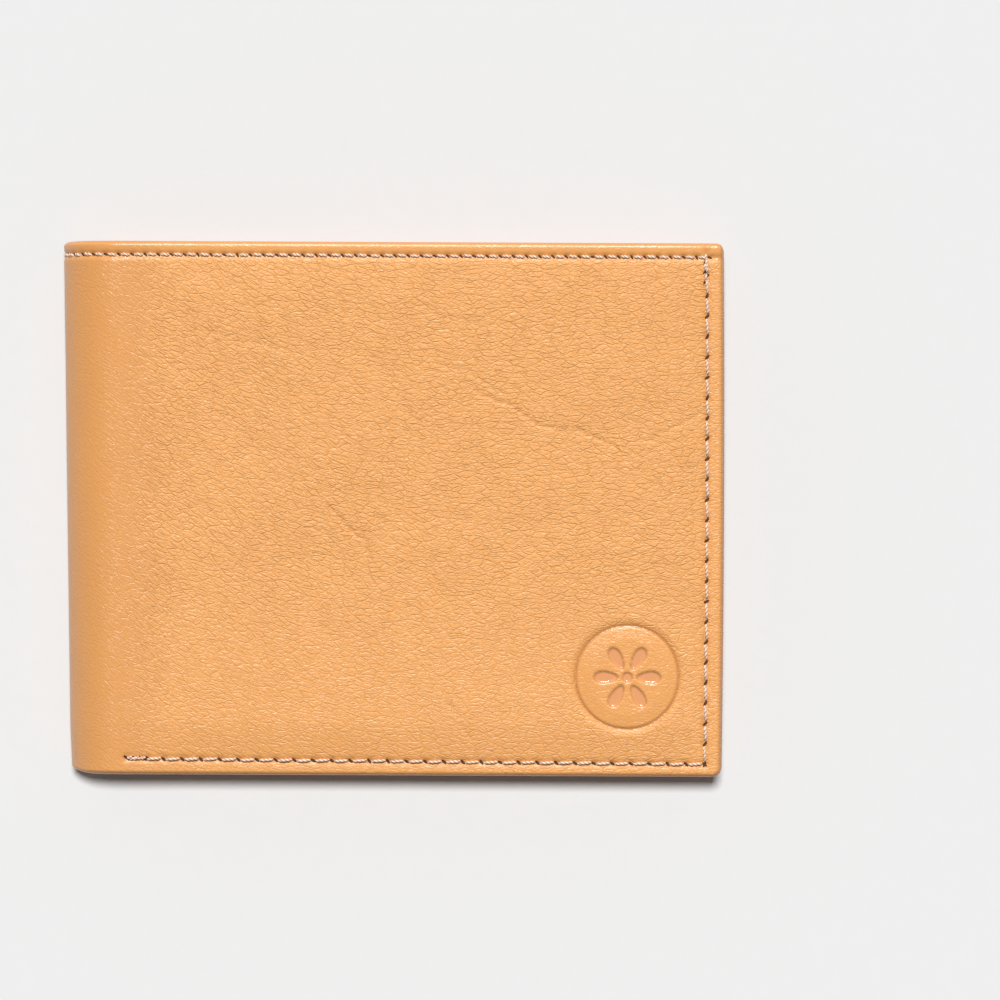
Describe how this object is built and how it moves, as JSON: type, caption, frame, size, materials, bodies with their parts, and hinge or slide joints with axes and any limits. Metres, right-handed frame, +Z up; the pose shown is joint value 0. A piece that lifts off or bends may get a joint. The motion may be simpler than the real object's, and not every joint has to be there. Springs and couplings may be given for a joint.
{
  "type": "leather wallet",
  "caption": "Closed three-leaf leather wallet with a rounded spine, sewn edges, bill compartment, card slots and a hinged window flap.",
  "frame": {"origin": "middle of the closed wallet's footprint, on the back cover's outer face, which it lies on", "axes": "+X from the spine to the sewn free edge, +Y to the mouth of the bill compartment, +Z up through the front cover"},
  "size_m": [0.115, 0.0936, 0.02],
  "materials": {
    "cover_leather": "grained light tan leather, satin",
    "inner_leather": "smooth light tan leather, satin",
    "lining": "tan twill lining",
    "divider": "tan twill divider with a leather edge",
    "stiffener": "pressed fibre board, matt",
    "thread": "waxed cream thread",
    "window_film": "clear flexible film, glossy"
  },
  "bodies": {
    "back_leaf": {"back_cover_leather": "cover_leather", "back_stiffener": "stiffener", "back_lining": "lining", "back_bill_divider": "divider", "back_inner_panel": "inner_leather", "back_card_slot_1": "inner_leather", "back_card_slot_2": "inner_leather", "back_card_slot_3": "inner_leather", "back_seam_thread": "thread", "flap_hinge_strip": "inner_leather"},
    "spine_back": {"spine_back_leather": "cover_leather", "spine_back_lining": "lining", "spine_back_divider": "divider", "spine_back_panel": "inner_leather", "spine_back_thread": "thread"},
    "spine_front": {"spine_front_leather": "cover_leather", "spine_front_lining": "lining", "spine_front_divider": "divider", "spine_front_panel": "inner_leather", "spine_front_thread": "thread"},
    "front_leaf": {"front_cover_leather": "cover_leather", "front_stiffener": "stiffener", "front_lining": "lining", "front_bill_divider": "divider", "front_inner_panel": "inner_leather", "front_card_slot_1": "inner_leather", "front_card_slot_2": "inner_leather", "front_card_slot_3": "inner_leather", "front_seam_thread": "thread"},
    "flap": {"flap_base_leather": "inner_leather", "flap_edge_binding": "inner_leather", "flap_window_film": "window_film", "flap_window_frame": "inner_leather", "flap_seam_thread": "thread"}
  },
  "joints": [
    {"name": "cover_fold", "type": "hinge", "parent": "back_leaf", "child": "spine_back", "pos_m": [-0.05242, 0, 0.00148], "axis": [0, -1, 0], "range_deg": [0, 60]},
    {"name": "spine_fold", "type": "hinge", "parent": "spine_back", "child": "spine_front", "pos_m": [-0.05734, 0, 0.01], "axis": [0, -1, 0], "range_deg": [0, 60]},
    {"name": "front_fold", "type": "hinge", "parent": "spine_front", "child": "front_leaf", "pos_m": [-0.05242, 0, 0.01852], "axis": [0, -1, 0], "range_deg": [0, 60]},
    {"name": "flap_fold", "type": "hinge", "parent": "back_leaf", "child": "flap", "pos_m": [0.04975, 0, 0.0095], "axis": [0, 1, 0], "range_deg": [0, 105]}
  ],
  "couplings": [
    {"joint": "spine_fold", "follows": "cover_fold", "ratio": 1},
    {"joint": "front_fold", "follows": "cover_fold", "ratio": 1},
    {"joint": "flap_fold", "follows": "cover_fold", "ratio": 1.75}
  ]
}
